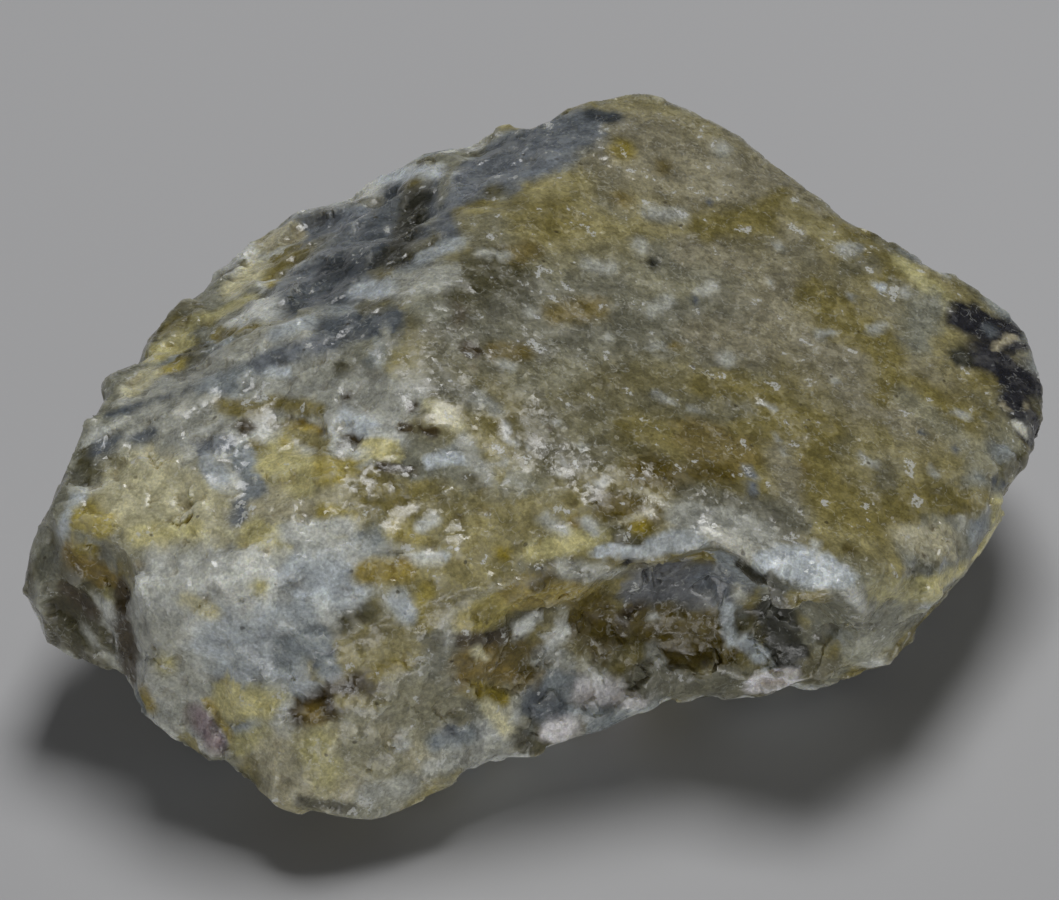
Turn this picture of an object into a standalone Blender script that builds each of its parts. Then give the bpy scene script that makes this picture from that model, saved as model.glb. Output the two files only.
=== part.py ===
"""Fluorite hand specimen: one rough, broken lump of massive yellow-green, white and grey fluorite.

The lump is built the way such a stone gets its shape. Its sides are a skin through four outlines,
from the foot it rests on to the rim. Five broad fracture faces then cut its top, and smaller pieces
have broken out of it: a recess under an overhanging lip at the front, and a crevice at the left.
Last, its skin is broken into flat crystal faces, steps, lumps and pits.

Lengths below are in millimetres, and MM turns them into metres. +X is the stone's long direction,
-Y is the side with the recess, and +Z is up. The stone rests on z = 0.
"""
import math

import bmesh
import bpy
import numpy as np
from mathutils import Vector

MM = 0.001

# ---- driving dimensions ---------------------------------------------------------------------
AXIS = (0.0, 3.0)              # the upright line that the outlines go around
COLUMNS = 120                  # points on each outline once it is taken at even bearings
CORE_VOXEL = 0.9               # spacing of the skin while the relief is cut into it
TRIANGLES = 10100              # triangles of the finished stone, before its foot is cut flat
SINK = 1.2                     # how far the rough foot reaches below the flat it is cut to
TALL = 44.0                    # height of the rough block before its top faces are cut

# The outlines, as (x, y, z), counter-clockwise from the left tip along the front.
FOOT = [
    (-26, -13, 0), (-18, -23, 0), (-7, -22, 0), (4, -14, 0), (16, -11, 0), (27, -5, 0),
    (31, 4, 0), (23, 10, 0), (15, 20, 0), (2, 19, 0), (-9, 23, 0), (-20, 15, 0), (-24, 5, 0),
]
BELLY = [
    (-46.5, -20, 11), (-43, -22.5, 11), (-39.5, -23, 10.5), (-36.5, -28.5, 9), (-30.5, -33, 8),
    (-22.5, -38, 7), (-16, -38.5, 6.5), (-10, -36, 6.5), (-3, -31, 6), (4, -27.5, 6), (10.5, -25.5, 6),
    (17, -22.5, 6), (23, -22.5, 5.5), (29.5, -20.5, 5.5), (35.5, -19, 5.5), (37.5, -13.5, 8),
    (41.5, -7.5, 9), (45.5, 2.5, 9), (46.5, 11, 9), (43, 20, 8), (34, 27, 8), (25, 34, 9), (15, 39, 9),
    (4, 41, 9), (-8, 40, 9), (-18, 36, 8), (-27, 31, 8), (-33.5, 24, 8), (-37, 13, 8), (-40.5, 2, 8),
    (-44, -10, 9),
]
WAIST = [
    (-48.5, -18.5, 16), (-44.5, -21, 16), (-40.5, -21, 16), (-37.5, -28, 16), (-31, -30, 17),
    (-22.5, -33.5, 18), (-15.5, -34, 18), (-9, -32, 16), (-2, -29, 15), (5, -26.5, 14),
    (10.5, -26, 14), (17, -25, 13), (23, -25, 13), (30, -23.5, 13), (36.5, -19, 11.5),
    (41, -11.5, 11.5), (46.5, 1, 12), (50, 11, 13), (47.5, 20, 14), (37, 27, 16), (28, 32, 17),
    (20, 38.5, 19), (8, 41, 19), (-4, 40, 18), (-14, 38.5, 17), (-24, 34, 16), (-32, 28, 15),
    (-36.5, 19, 15), (-39.3, 8, 14), (-43.2, -6, 14),
]
RIM = [
    (-45.5, -15.5, 24), (-43, -20, 24.5), (-39, -21.5, 24), (-36, -26.5, 25), (-28, -28, 26.5),
    (-21, -29.5, 27), (-15, -29.5, 27), (-8.5, -29, 27), (-2.5, -28, 27), (4, -27, 26),
    (10, -26.5, 25.5), (15.5, -26, 25.5), (22, -27.5, 24.5), (30, -25.8, 22), (37, -21.5, 17.5),
    (42.5, -15.5, 17.5), (45.5, -10, 18.5), (48, -4, 18.5), (50.5, 2, 18.5), (51.3, 8, 20),
    (51, 15, 20.5), (47, 20, 23),
    (39.5, 24, 25.5), (32.5, 26.5, 27), (27, 30.5, 30), (24, 36, 33), (17, 38.5, 34.5),
    (11, 39.5, 35.5), (4.5, 38.5, 34.5), (-2, 38, 33), (-6.5, 36.5, 31), (-13.5, 38, 28.5),
    (-20.5, 34.5, 27), (-26.5, 31.5, 26), (-31, 26.5, 24.5), (-33, 18.5, 24.5), (-38.7, 10.5, 24.5),
    (-41.2, -0.5, 25), (-42.2, -10, 25.5),
]

# The fracture faces that cut the top: a point on each, and its rise along X and along Y.
TOP_FACES = {
    "main face": ((0, 0, 34.3), -0.28, 0.09),
    "back left slope": ((-11, 0, 37.0), 0.34, -0.245),
    "left shoulder": ((-11, -6, 36.4), 0.264, 0.232),
    "front bevel": ((-5, -19, 31.5), -0.09, 0.666),
    "right bevel": ((40, -12, 21.9), -1.47, 0.93),
}

# Pieces that broke out of the stone. Each is the hull of its corners.
BREAKS = {
    "recess under the lip": [
        (6, -19.5, 22.5), (16, -18.5, 22.5), (28, -20, 20.5), (7, -22, 12.5), (27, -19.5, 9.5),
        (3, -40, 25), (34, -40, 21.5), (2, -40, 11), (31, -40, 6)],
    "hollow left of the recess": [
        (-1, -26, 22), (7, -22.5, 22.5), (-2, -29, 10), (8.5, -23.5, 11),
        (-5, -40, 26), (8, -40, 26), (-6, -40, 8), (8, -40, 8)],
    "arch in the lip": [
        (8, -25.6, 26.8), (13.5, -24.2, 27.5), (16, -23.3, 27.8), (18.5, -24, 27.3), (22, -26, 25),
        (14, -22, 21), (20, -22, 21), (6, -40, 30), (24, -40, 28), (6, -40, 20), (24, -40, 20)],
    "crevice": [
        (-37.8, -18, 23), (-38, -22.5, 7), (-43.5, -29, 29), (-35.3, -28, 29),
        (-41.5, -30, 4), (-35.8, -30, 4)],
    "notch at the back": [
        (25, 45, -5), (40, 45, -5), (24.5, 45, 40), (42, 45, 40), (29.5, 29, 40), (31, 31, -5)],
    "under the left wedge": [
        (-52, -32, -5), (-36, -32, -5), (-38, -24, 9), (-50, -22, 10), (-41, -17, -5), (-54, -10, -5)],
}

# The low step along the back left: inside this line the stone stands higher than outside it.
STEP_LINE = [
    (-43, -13), (-40, -8), (-35.5, -3.5), (-31, 1.5), (-26, 8), (-23, 17), (-17, 26), (-11, 33),
]
STEP_DROP = 1.5
STEP_WIDTH = 1.2

# Places where a crystal is missing or stands out: centre, radius, and height (below 0 is a pit).
SPOTS = {
    "brown pit": ((-19.0, -13.0, 33.0), 3.2, -2.0),
    "brown pit, right": ((-10.5, -12.5, 34.5), 2.4, -2.2),
    "brown pit, small": ((-5.0, -4.5, 34.5), 1.6, -1.3),
    "left crystal": ((-42.0, -18.0, 25.5), 3.0, 1.2),
    "white patch": ((-14.0, 7.5, 35.0), 5.0, 0.7),
    "pale bar": ((-10.0, 30.0, 28.5), 5.5, 1.1),
    "dark hollow": ((-12.5, 21.5, 30.5), 5.5, -1.8),
    "block corner": ((-18.5, -35.0, 13.0), 5.0, 0.9),
    "lip point": ((22.0, -26.0, 24.0), 3.0, 0.8),
    "front hollow": ((-2.5, -28.0, 19.0), 4.5, -1.2),
    "front knob": ((-6.5, -31.0, 9.0), 3.5, 1.0),
}

# The flat crystal faces, coarse to fine: cell size, lean of a face, step in or out, and how far
# the skin goes over to the flat faces (1 is wholly flat), in general and in the crevice, which
# coarse faces would close. The top face is smoother than the sides.
FACETS = [
    (10.0, 0.20, 0.60, 0.70, 0.0),
    (5.4, 0.22, 0.32, 0.90, 0.35),
]
CREVICE = ((-39.5, -24.0, 15.0), 13.0)   # a ball around the crevice: centre and radius
FARTHEST = 0.17                # farthest that a point moves to its flat face, as a share of the cell
APART = 0.35                   # keeps the two sides of a thin edge in cells of their own, likewise
TOP_CALM = 0.40                # share of the lean and step left on the main top face
TOP_DEPTH = (-3.0, -1.0)       # how near the main top face's plane a point counts as part of it
LEVEL = (0.6, 0.85)            # upward part of a normal, from a side to a level face
SPOT_CORE = 0.3                # share of a spot's radius that has its full height
CREVICE_CORE = 0.6             # share of the crevice's ball in which its own share holds wholly
SEED = 11


def skin_ring(outline, height_shift=0.0):
    """The outline taken again at even bearings around AXIS, with straight runs between its points."""
    x, y, z = np.array(outline, dtype=float).T
    bearing = np.arctan2(y - AXIS[1], x - AXIS[0])
    order = np.argsort(bearing)
    even = np.linspace(-math.pi, math.pi, COLUMNS, endpoint=False)
    rows = [np.interp(even, bearing[order], row[order], period=2 * math.pi) for row in (x, y, z)]
    return np.stack(rows, axis=1) + (0.0, 0.0, height_shift)


def raised(outline, height):
    """The same outline, level, at one height."""
    return [(x, y, height) for x, y, z in outline]


def rough_block():
    """A closed skin through the foot, belly, waist and rim, carried straight up to TALL."""
    below = skin_ring(FOOT, -SINK)
    rings = [below, skin_ring(BELLY), skin_ring(WAIST), skin_ring(RIM), skin_ring(raised(RIM, TALL))]
    skin = bmesh.new()
    loops = [[skin.verts.new(Vector(point) * MM) for point in ring] for ring in rings]
    for low, high in zip(loops, loops[1:]):
        for i in range(COLUMNS):
            j = (i + 1) % COLUMNS
            skin.faces.new((low[i], low[j], high[j], high[i]))
    skin.faces.new(list(reversed(loops[0])))
    skin.faces.new(loops[-1])
    return skin


def cut_flat(skin, point, normal):
    """Take away what lies beyond a plane, and close the stone with a flat face there."""
    everything = skin.verts[:] + skin.edges[:] + skin.faces[:]
    cut = bmesh.ops.bisect_plane(
        skin, geom=everything, plane_co=Vector(point) * MM, plane_no=Vector(normal).normalized(),
        clear_outer=True)
    edges = [item for item in cut["geom_cut"] if isinstance(item, bmesh.types.BMEdge)]
    bmesh.ops.edgeloop_fill(skin, edges=edges)


def as_object(name, skin):
    """Turn a bmesh into an object in the scene."""
    mesh = bpy.data.meshes.new(name)
    skin.to_mesh(mesh)
    skin.free()
    thing = bpy.data.objects.new(name, mesh)
    bpy.context.collection.objects.link(thing)
    return thing


def add_break(stone, name, corners):
    """Cut the hull of the corners out of the stone."""
    piece = bmesh.new()
    for corner in corners:
        piece.verts.new(Vector(corner) * MM)
    bmesh.ops.convex_hull(piece, input=piece.verts)
    cutter = as_object(name, piece)
    cutter.hide_render = True
    cutter.display_type = "WIRE"
    cut = stone.modifiers.new(name, "BOOLEAN")
    cut.operation = "DIFFERENCE"
    cut.solver = "EXACT"
    cut.object = cutter
    return cutter


def settle(stone):
    """Make the stone's mesh what its modifiers show, and take the modifiers off."""
    shown = stone.evaluated_get(bpy.context.evaluated_depsgraph_get())
    mesh = bpy.data.meshes.new_from_object(shown)
    stone.modifiers.clear()
    stone.data = mesh


def read_skin(mesh):
    """The skin's points in millimetres, and its normals."""
    points = np.empty(len(mesh.vertices) * 3)
    normals = np.empty(len(mesh.vertices) * 3)
    mesh.vertices.foreach_get("co", points)
    mesh.vertices.foreach_get("normal", normals)
    return points.reshape(-1, 3) / MM, normals.reshape(-1, 3)


def write_skin(mesh, points):
    """Put the points, given in millimetres, back in the mesh."""
    mesh.vertices.foreach_set("co", (points * MM).ravel())
    mesh.update()


def chance(cells, salt):
    """Three even numbers from 0 to 1 for each whole-number cell, the same ones every time."""
    mix = np.array([(127.1, 269.5, 113.5), (311.7, 183.3, 271.9), (74.7, 246.1, 124.6)])
    waves = np.sin(cells @ mix + salt * 17.3) * 43758.5453
    return waves - np.floor(waves)


def nearest_cell(points, size, salt):
    """The cell of a loose 3-D grid, with one seed somewhere in each cell, whose seed is nearest."""
    home = np.floor(points / size)
    best = np.full(len(points), np.inf)
    owner = np.zeros_like(points)
    for step in np.ndindex(3, 3, 3):
        cell = home + np.array(step) - 1
        seed = (cell + chance(cell, salt)) * size
        gap = ((points - seed) ** 2).sum(axis=1)
        nearer = gap < best
        best[nearer] = gap[nearer]
        owner[nearer] = cell[nearer]
    return owner


def smooth_step(value, low, high):
    """0 below low, 1 above high, and an even rise between them."""
    part = np.clip((value - low) / (high - low), 0.0, 1.0)
    return part * part * (3.0 - 2.0 * part)


def top_calm(points, normals):
    """1 on the sides, and TOP_CALM where the skin is part of the main top face."""
    x, y, z = points.T
    (px, py, pz), along_x, along_y = TOP_FACES["main face"]
    face = pz + along_x * (x - px) + along_y * (y - py)
    on_top = smooth_step(z - face, *TOP_DEPTH) * smooth_step(normals[:, 2], *LEVEL)
    return 1.0 - (1.0 - TOP_CALM) * on_top


def flat_share(points, general, in_crevice):
    """How far each point goes over to its flat face."""
    centre, radius = CREVICE
    near = np.linalg.norm(points - np.array(centre), axis=1) / radius
    return in_crevice + (general - in_crevice) * smooth_step(near, CREVICE_CORE, 1.0)[:, None]


def break_into_faces(points, normals, size, lean, step, share, salt):
    """Slide the skin onto one flat face for each cell.

    A cell's face goes through the mean of its points, looks along the mean of their normals with
    a chance lean, and stands in or out by a chance step.
    """
    apart = points + normals * size * APART
    cells, owner = np.unique(nearest_cell(apart, size, salt), axis=0, return_inverse=True)
    owner = owner.ravel()
    count = np.bincount(owner)[:, None]

    def mean(values):
        return np.stack([np.bincount(owner, row) for row in values.T], axis=1) / count

    calm = mean(top_calm(points, normals)[:, None])
    centre = mean(points)
    facing = mean(normals)
    facing /= np.linalg.norm(facing, axis=1, keepdims=True) + 1e-9
    facing += (chance(cells, salt + 1) - 0.5) * 2.0 * lean * calm
    facing /= np.linalg.norm(facing, axis=1, keepdims=True)
    out = (chance(cells, salt + 2)[:, :1] - 0.5) * 2.0 * step * calm
    gap = ((centre[owner] - points) * facing[owner]).sum(axis=1, keepdims=True) + out[owner]
    return points + facing[owner] * np.clip(gap * share, -FARTHEST * size, FARTHEST * size)


def side_of_step(points):
    """How far each point is outside the step line: more than 0 is outside it, on the low side."""
    line = np.array(STEP_LINE, dtype=float)
    flat = points[:, :2]
    best = np.full(len(points), np.inf)
    side = np.zeros(len(points))
    for start, end in zip(line, line[1:]):
        run = end - start
        part = np.clip(((flat - start) @ run) / (run @ run), 0.0, 1.0)
        away = flat - (start + part[:, None] * run)
        gap = np.linalg.norm(away, axis=1)
        nearer = gap < best
        turn = run[0] * away[:, 1] - run[1] * away[:, 0]
        best[nearer] = gap[nearer]
        side[nearer] = np.sign(turn[nearer]) * gap[nearer]
    return side


def carve_relief(mesh):
    """The step, the missing and standing crystals, and the flat crystal faces."""
    points, normals = read_skin(mesh)
    low = smooth_step(side_of_step(points), -STEP_WIDTH / 2, STEP_WIDTH / 2)
    points[:, 2] -= STEP_DROP * low * smooth_step(normals[:, 2], *LEVEL)
    for centre, radius, height in SPOTS.values():
        near = np.linalg.norm(points - np.array(centre), axis=1) / radius
        points += normals * (height * (1.0 - smooth_step(near, SPOT_CORE, 1.0)))[:, None]
    write_skin(mesh, points)
    for number, (size, lean, step, general, in_crevice) in enumerate(FACETS):
        points, normals = read_skin(mesh)
        share = flat_share(points, general, in_crevice)
        points = break_into_faces(points, normals, size, lean, step, share, SEED + 10 * number)
        write_skin(mesh, points)


def thin_out(stone):
    """Fewer, larger triangles, kept where the faces meet."""
    triangles = sum(len(face.vertices) - 2 for face in stone.data.polygons)
    thinner = stone.modifiers.new("thinner", "DECIMATE")
    thinner.ratio = TRIANGLES / triangles
    thinner.use_collapse_triangulate = True
    settle(stone)


def keep_largest(skin):
    """Drop all that isn't joined to the stone itself, such as a hollow that the foot closes."""
    waiting = set(skin.verts)
    groups = []
    while waiting:
        front = [waiting.pop()]
        group = set(front)
        while front:
            for edge in front.pop().link_edges:
                for vert in edge.verts:
                    if vert in waiting:
                        waiting.remove(vert)
                        group.add(vert)
                        front.append(vert)
        groups.append(group)
    largest = max(groups, key=len)
    strays = [vert for vert in skin.verts if vert not in largest]
    bmesh.ops.delete(skin, geom=strays, context="VERTS")


def cut_foot(stone):
    """The flat that the stone rests on."""
    skin = bmesh.new()
    skin.from_mesh(stone.data)
    cut_flat(skin, (0, 0, 0), (0, 0, -1))
    keep_largest(skin)
    bmesh.ops.triangulate(skin, faces=skin.faces)
    skin.to_mesh(stone.data)
    skin.free()


def centre_on_origin(mesh):
    """Put the middle of the stone's box over the origin, with the foot on z = 0."""
    points, normals = read_skin(mesh)
    low, high = points.min(axis=0), points.max(axis=0)
    middle = (low + high) / 2
    write_skin(mesh, points - (middle[0], middle[1], low[2]))


def fluorite():
    """Massive yellow-green fluorite, slightly glassy."""
    material = bpy.data.materials.new("fluorite")
    material.use_nodes = True
    shader = material.node_tree.nodes["Principled BSDF"]
    shader.inputs["Base Color"].default_value = (0.16, 0.15, 0.09, 1.0)
    shader.inputs["Roughness"].default_value = 0.4
    shader.inputs["Metallic"].default_value = 0.0
    return material


def build_stone():
    """The whole stone: rough block, top faces, breaks, relief and foot."""
    skin = rough_block()
    for point, along_x, along_y in TOP_FACES.values():
        cut_flat(skin, point, (-along_x, -along_y, 1.0))
    stone = as_object("fluorite_specimen", skin)
    cutters = [add_break(stone, name, corners) for name, corners in BREAKS.items()]
    even = stone.modifiers.new("even skin", "REMESH")
    even.mode = "VOXEL"
    even.voxel_size = CORE_VOXEL * MM
    settle(stone)
    for cutter in cutters:
        bpy.data.objects.remove(cutter)
    carve_relief(stone.data)
    thin_out(stone)
    cut_foot(stone)
    centre_on_origin(stone.data)
    stone.data.materials.clear()
    stone.data.materials.append(fluorite())


for thing in list(bpy.data.objects):
    bpy.data.objects.remove(thing, do_unlink=True)
build_stone()
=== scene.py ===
# %% [markdown]
# # A fluorite hand specimen
#
# Fluorite is a soft, glassy mineral. Well grown, it makes cubes, but this stone is massive fluorite:
# thousands of crystals that grew into each other and were then broken out of a vein, so every side
# of the lump is a patchwork of small broken crystal faces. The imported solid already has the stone's
# size and its large forms: the sloping top, the lip over the recess at the front, and the crevice at
# the left. This lesson gives that solid a skin: fine crystal faces, lumps and pits, the colours of
# the crystals, and a material that lets light sink in as fluorite does.
#
# One piece does it all, because the real thing is one piece. Lengths are in millimetres until they
# go into a mesh, where MM turns them into metres.

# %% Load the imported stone
import math
from collections import namedtuple

import bmesh
import bpy
import numpy as np
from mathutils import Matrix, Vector


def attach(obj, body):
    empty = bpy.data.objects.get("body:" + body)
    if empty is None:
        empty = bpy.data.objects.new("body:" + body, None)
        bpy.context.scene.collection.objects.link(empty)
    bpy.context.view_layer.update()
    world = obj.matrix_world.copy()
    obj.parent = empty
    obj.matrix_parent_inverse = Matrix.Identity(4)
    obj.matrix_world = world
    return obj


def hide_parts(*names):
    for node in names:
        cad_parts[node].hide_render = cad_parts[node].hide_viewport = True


MM = 0.001
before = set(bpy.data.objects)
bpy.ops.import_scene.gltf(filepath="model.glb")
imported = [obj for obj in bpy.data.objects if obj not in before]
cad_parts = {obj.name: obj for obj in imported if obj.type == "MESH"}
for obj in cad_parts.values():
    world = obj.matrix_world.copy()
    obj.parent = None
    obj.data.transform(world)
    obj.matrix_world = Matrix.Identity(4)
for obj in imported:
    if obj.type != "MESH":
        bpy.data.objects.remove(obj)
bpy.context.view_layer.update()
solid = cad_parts["fluorite_specimen"]

# %% [markdown]
# ## Camera
#
# A close-up lens held above the table, 300 mm away and looking down by 40 degrees, shows the top
# and the front side together. A long lens keeps the stone's far end from shrinking.

# %% Place the camera
LOOK_AT = Vector((-1.72, -1.42, 18.0)) * MM
LOOK_DOWN = math.radians(40)
AWAY = 300 * MM

lens = bpy.data.cameras.new("close_up_lens")
lens.lens = 104
lens.sensor_width = 36
lens.clip_start = 0.01
camera = bpy.data.objects.new("camera", lens)
camera.location = LOOK_AT + AWAY * Vector((0, -math.cos(LOOK_DOWN), math.sin(LOOK_DOWN)))
camera.rotation_euler = (math.pi / 2 - LOOK_DOWN, 0, 0)
bpy.context.collection.objects.link(camera)
bpy.context.scene.camera = camera
print("camera at, mm:", [round(value / MM) for value in camera.location])

# %% [markdown]
# ## Table and light
#
# A pale, plain table and one soft light high over the stone, a little behind it, so that the shadow
# falls to the front. It stands where the smooth top does not mirror it to the camera, because a
# shine there would hide the colours. A low, wide light far in front of the stone shows its front
# side and hardly touches the table, and the sky colour fills the rest.

# %% Lay the table and hang the lights
def add_table(name, side, colour):
    """A flat square of that side around the origin, at the height that the stone rests on."""
    half = side / 2
    corners = [(-half, -half, 0), (half, -half, 0), (half, half, 0), (-half, half, 0)]
    mesh = bpy.data.meshes.new(name)
    mesh.from_pydata(corners, [], [(0, 1, 2, 3)])
    paint = bpy.data.materials.new(name)
    paint.use_nodes = True
    surface = paint.node_tree.nodes["Principled BSDF"]
    surface.inputs["Base Color"].default_value = (*colour, 1)
    surface.inputs["Roughness"].default_value = 0.75
    mesh.materials.append(paint)
    table = bpy.data.objects.new(name, mesh)
    bpy.context.collection.objects.link(table)


def add_light(name, place, size, watts):
    """A rectangle of light at a place in metres, turned to face the stone."""
    light = bpy.data.lights.new(name, "AREA")
    light.shape = "RECTANGLE"
    light.size, light.size_y = size
    light.energy = watts
    lamp = bpy.data.objects.new(name, light)
    lamp.location = place
    lamp.rotation_euler = (LOOK_AT - Vector(place)).to_track_quat("-Z", "Y").to_euler()
    bpy.context.collection.objects.link(lamp)


add_table("table", 8.0, (0.545, 0.545, 0.555))
add_light("window", (0.04, 0.18, 0.62), (0.26, 0.24), 2.35)
add_light("room", (0.10, -1.20, 0.14), (1.3, 0.25), 5.6)
sky = bpy.data.worlds.new("sky")
sky.use_nodes = True
sky.node_tree.nodes["Background"].inputs["Color"].default_value = (0.80, 0.82, 0.85, 1)
sky.node_tree.nodes["Background"].inputs["Strength"].default_value = 0.05
bpy.context.scene.world = sky
bpy.context.scene.view_settings.view_transform = "Standard"

# %% [markdown]
# ## A finer skin on the same stone
#
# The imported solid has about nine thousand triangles, far too few for crystals a few millimetres
# wide. Blender's voxel remesh lays an even net over it instead, with a point every 0.3 mm. The
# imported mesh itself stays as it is: the net goes on a copy, whose doubled points are merged first.

# %% Copy the solid and lay a fine net over it
NET = 0.30                     # spacing of the net


def settle(thing):
    """Make the object's mesh what its modifiers show, and take the modifiers off."""
    shown = thing.evaluated_get(bpy.context.evaluated_depsgraph_get())
    mesh = bpy.data.meshes.new_from_object(shown)
    thing.modifiers.clear()
    thing.data = mesh


def merged_copy(source, name):
    """A new object with the source's shape, its doubled points merged."""
    shape = bmesh.new()
    shape.from_mesh(source.data)
    bmesh.ops.remove_doubles(shape, verts=shape.verts, dist=0.001 * MM)
    mesh = bpy.data.meshes.new(name)
    shape.to_mesh(mesh)
    shape.free()
    thing = bpy.data.objects.new(name, mesh)
    bpy.context.collection.objects.link(thing)
    return thing


stone = merged_copy(solid, "fluorite_skin")
net = stone.modifiers.new("net", "REMESH")
net.mode = "VOXEL"
net.voxel_size = NET * MM
settle(stone)
mesh = stone.data
print("net:", len(mesh.vertices), "points,", 2 * len(mesh.polygons), "triangles")

# %% [markdown]
# ## Reading and writing the skin
#
# All the shaping below works on whole arrays of points. Small tools move them between the mesh and
# numpy, and one relaxes them: each point goes to the mean of its neighbours, which wipes out small
# forms first and keeps the large ones.

# %% Read, write and relax the points
def read_skin():
    """The points in millimetres and their normals, as two arrays of three columns."""
    points = np.empty(len(mesh.vertices) * 3)
    normals = np.empty(len(mesh.vertices) * 3)
    mesh.vertices.foreach_get("co", points)
    mesh.vertices.foreach_get("normal", normals)
    return points.reshape(-1, 3) / MM, normals.reshape(-1, 3)


def write_skin(points):
    """Put the points back in the mesh, none of them below the table."""
    points = np.maximum(points, (-np.inf, -np.inf, 0.0))
    mesh.vertices.foreach_set("co", (points * MM).ravel())
    mesh.update()


def read_edges():
    """The two points of every edge, as an array of two columns."""
    edges = np.empty(len(mesh.edges) * 2, dtype=np.int32)
    mesh.edges.foreach_get("vertices", edges)
    return edges.reshape(-1, 2)


def relaxed(values, rounds):
    """Each point's values become the mean of its neighbours' values, that many times over."""
    first, second = edges.T
    size = len(values)
    count = np.bincount(edges.ravel(), minlength=size)
    for _ in range(rounds):
        values = np.stack([
            (np.bincount(first, column[second], size) + np.bincount(second, column[first], size))
            / count for column in values.T], axis=1)
    return values


def smooth_step(value, low, high):
    """0 below low, 1 above high, and an even rise between them."""
    part = np.clip((value - low) / (high - low), 0.0, 1.0)
    return part * part * (3.0 - 2.0 * part)


edges = read_edges()
points, normals = read_skin()
print("highest point, mm:", round(points[:, 2].max(), 1))

# %% [markdown]
# ## Where the stone is calm
#
# The sloping top broke along one great plane and stayed almost flat, while the shoulder, the block
# and the front side are rough. So the large flat faces of the solid are relaxed away on the top,
# and stay everywhere else. A share from 0 to 1 says how far a point belongs to the top: it has to
# lie near the top's plane and face up.

# %% Calm the top
TOP_PLANE = (33.95, -0.28, 0.09)       # height over the origin, and rise along X and Y
TOP_BAND = (-2.4, -0.9)                # from not part of it to part of it, measured upwards
TOP_LEVEL = (0.72, 0.88)               # upward part of the normal, likewise
WIDE_ROUNDS = 80                       # rounds that turn the normals into those of the large forms
BORDER_ROUNDS = 24                     # rounds that soften the border of the top
CALM_ROUNDS = 170                      # rounds that flatten the top
CALM = 0.85                            # how far the top goes towards its flattened shape


def share_of_top(points, normals):
    """How far each point is part of the sloping top, from 0 to 1."""
    height, along_x, along_y = TOP_PLANE
    plane = height + along_x * points[:, 0] + along_y * points[:, 1]
    near = smooth_step(points[:, 2] - plane, *TOP_BAND)
    return near * smooth_step(normals[:, 2], *TOP_LEVEL)


wide_normals = relaxed(normals, WIDE_ROUNDS)
wide_normals /= np.linalg.norm(wide_normals, axis=1, keepdims=True)
top = relaxed(share_of_top(points, wide_normals)[:, None], BORDER_ROUNDS)
points += (relaxed(points, CALM_ROUNDS) - points) * top * CALM
write_skin(points)
print("share of the skin that is the top:", round(float(top.mean()), 2))

# %% [markdown]
# ## Chance that repeats
#
# Crystals differ from each other by chance, but the stone has to come out the same on every run. So
# chance is worked out from the place itself: a sine with a large factor, of which only the part
# after the point is kept, gives numbers that look random and never change. Blended between the
# corners of a grid, the same numbers give a smooth noise for clouds and wavy borders.

# %% Chance, noise and clouds
def chance(cells, salt):
    """Three even numbers from 0 to 1 for each whole-number cell, the same ones every time."""
    mix = np.array([(127.1, 269.5, 113.5), (311.7, 183.3, 271.9), (74.7, 246.1, 124.6)])
    waves = np.sin(cells @ mix + salt * 17.3) * 43758.5453
    return waves - np.floor(waves)


def noise(points, size, salt):
    """Three smooth numbers from 0 to 1: chance at the eight corners of the point's grid cell,
    blended by how near each corner is."""
    grid = points / size
    home = np.floor(grid)
    part = smooth_step(grid - home, 0.0, 1.0)
    total = np.zeros_like(points)
    for corner in np.ndindex(2, 2, 2):
        weight = np.where(corner, part, 1.0 - part).prod(axis=1, keepdims=True)
        total += weight * chance(home + corner, salt)
    return total


def clouds(points, size, salt):
    """One number from 0 to 1: three noises, each half as large and half as strong as the last."""
    layers = [noise(points, size / 2 ** step, salt + step)[:, 0] / 2 ** step for step in range(3)]
    return sum(layers) / 1.75


def wandered(points, size, reach, salt):
    """The points moved about by noise, so that what is measured from them has wavy borders."""
    return points + (noise(points, size, salt) - 0.5) * 2.0 * reach


print("chance for one cell:", chance(np.array([[1.0, 2.0, 3.0]]), 0).round(3)[0])
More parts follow.
